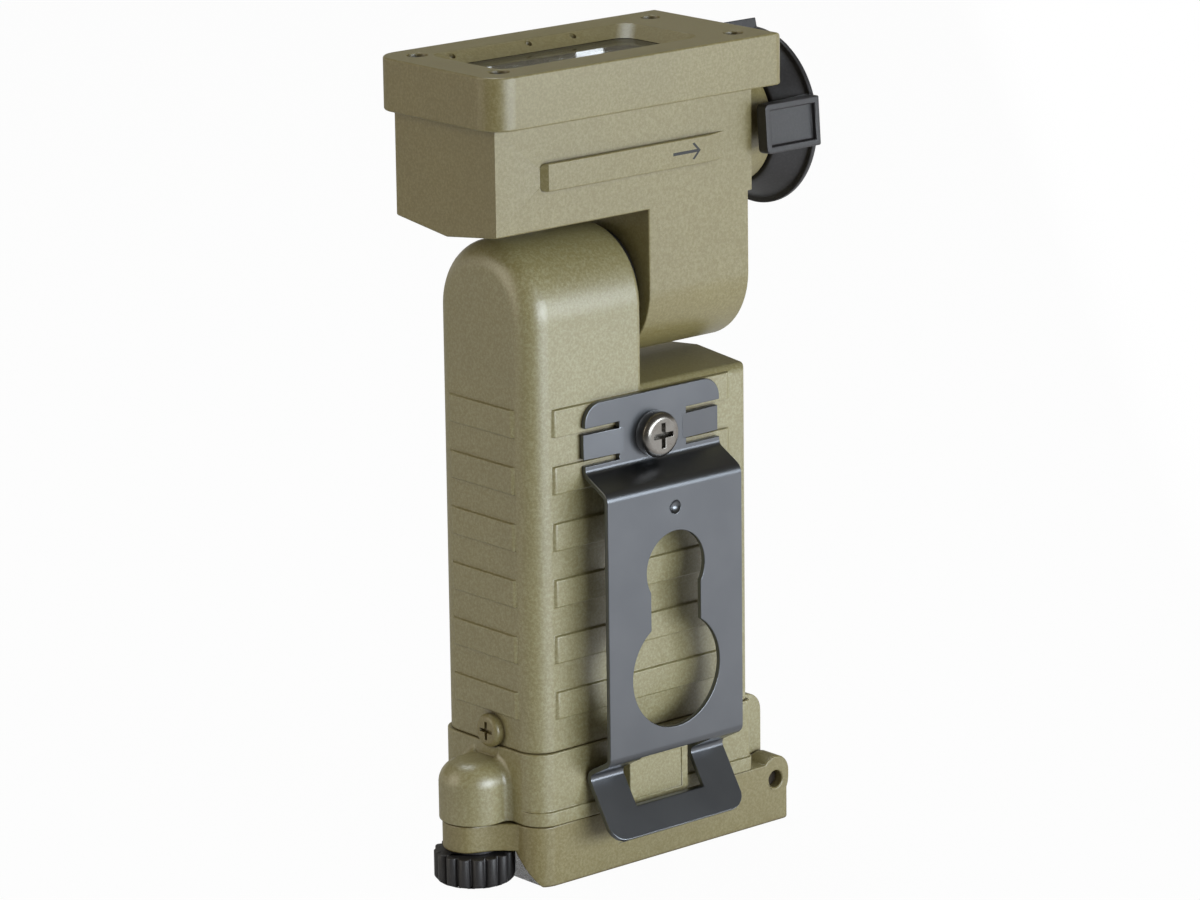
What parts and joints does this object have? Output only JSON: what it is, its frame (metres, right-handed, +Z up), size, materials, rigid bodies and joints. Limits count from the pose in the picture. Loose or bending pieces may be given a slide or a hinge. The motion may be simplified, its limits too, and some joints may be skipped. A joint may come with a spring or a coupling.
{
  "type": "flashlight",
  "caption": "Right-angle flashlight with a tilting head, rotary selector with push button, hinged battery door with thumb screw, and a keyhole belt clip.",
  "frame": {"origin": "on the foot of the battery door, under the middle of the battery body", "axes": "+Z up from the foot to the head, +X towards the selector's end of the head, the belt clip on the -Y face"},
  "size_m": [0.0624, 0.0315, 0.1194],
  "materials": {
    "tan_nylon": "glass-filled nylon, olive tan, fine grain",
    "black_nylon": "satin black nylon",
    "clip_steel": "blue-grey satin coat on spring steel",
    "bright_steel": "nickelled steel",
    "brass": "plain brass",
    "rubber": "black rubber",
    "cell_jacket": "plain metal cell, weighted as one solid",
    "clear_lens": "clear polished lens",
    "reflector_metal": "vacuum-plated plastic",
    "board_green": "green circuit board",
    "emitter_white": "emitter with a pale yellow phosphor",
    "emitter_red": "red emitter",
    "emitter_blue": "blue emitter",
    "emitter_infrared": "dark infrared emitter"
  },
  "bodies": {
    "body": {"body_shell": "tan_nylon", "base_collar": "tan_nylon", "collar_screws": "tan_nylon", "boss_insert": "brass", "belt_clip": "clip_steel", "clip_screw": "bright_steel", "clip_insert": "brass", "cell_left": "cell_jacket", "cell_right": "cell_jacket", "contact_carrier": "black_nylon", "contact_button": "brass", "contact_spring": "brass", "pivot_o_ring": "rubber", "thrust_washer": "black_nylon", "wave_washer": "bright_steel", "hinge_pin": "bright_steel"},
    "door": {"battery_door": "tan_nylon", "door_gasket": "rubber", "contact_bridge": "brass"},
    "thumb_carrier": {"thumb_washer": "black_nylon"},
    "thumb_screw": {"thumb_knob": "black_nylon", "thumb_stud": "bright_steel"},
    "head": {"head_housing": "tan_nylon", "lens_bezel": "tan_nylon", "bezel_screws": "black_nylon", "lens": "clear_lens", "lens_gasket": "rubber", "reflector_tray": "reflector_metal", "led_board": "board_green", "led_white": "emitter_white", "led_red": "emitter_red", "led_blue": "emitter_blue", "led_infrared": "emitter_infrared", "switch_board": "board_green", "tact_switch": "black_nylon", "pivot_sleeve": "bright_steel", "pivot_ring": "bright_steel", "shaft_o_ring": "rubber"},
    "selector": {"selector_knob": "black_nylon", "selector_shaft": "bright_steel", "shaft_ring": "bright_steel"},
    "button": {"push_button": "black_nylon"}
  },
  "joints": [
    {"name": "head_tilt", "type": "hinge", "parent": "body", "child": "head", "pos_m": [0.001, 0, 0.084], "axis": [1, 0, 0], "range_deg": [-95, 90]},
    {"name": "door_swing", "type": "hinge", "parent": "body", "child": "door", "pos_m": [0.0255, 0, 0.00655], "axis": [0, -1, 0], "range_deg": [0, 110]},
    {"name": "thumb_slide", "type": "slide", "parent": "door", "child": "thumb_carrier", "axis": [0, 0, -1], "range_m": [0, 0.0035]},
    {"name": "thumb_turn", "type": "hinge", "parent": "thumb_carrier", "child": "thumb_screw", "pos_m": [-0.0234, 0, 0.0024], "axis": [0, 0, -1], "range_deg": [0, 1800]},
    {"name": "selector_turn", "type": "hinge", "parent": "head", "child": "selector", "pos_m": [0.028, 0, 0.1046], "axis": [1, 0, 0], "range_deg": [0, 180]},
    {"name": "button_push", "type": "slide", "parent": "selector", "child": "button", "axis": [-1, 0, 0], "range_m": [0, 0.001], "stiffness_N_per_m": 1500, "springref_m": -0.001}
  ],
  "couplings": [
    {"joint": "thumb_turn", "follows": "thumb_slide", "rad_per_m": 8975}
  ]
}
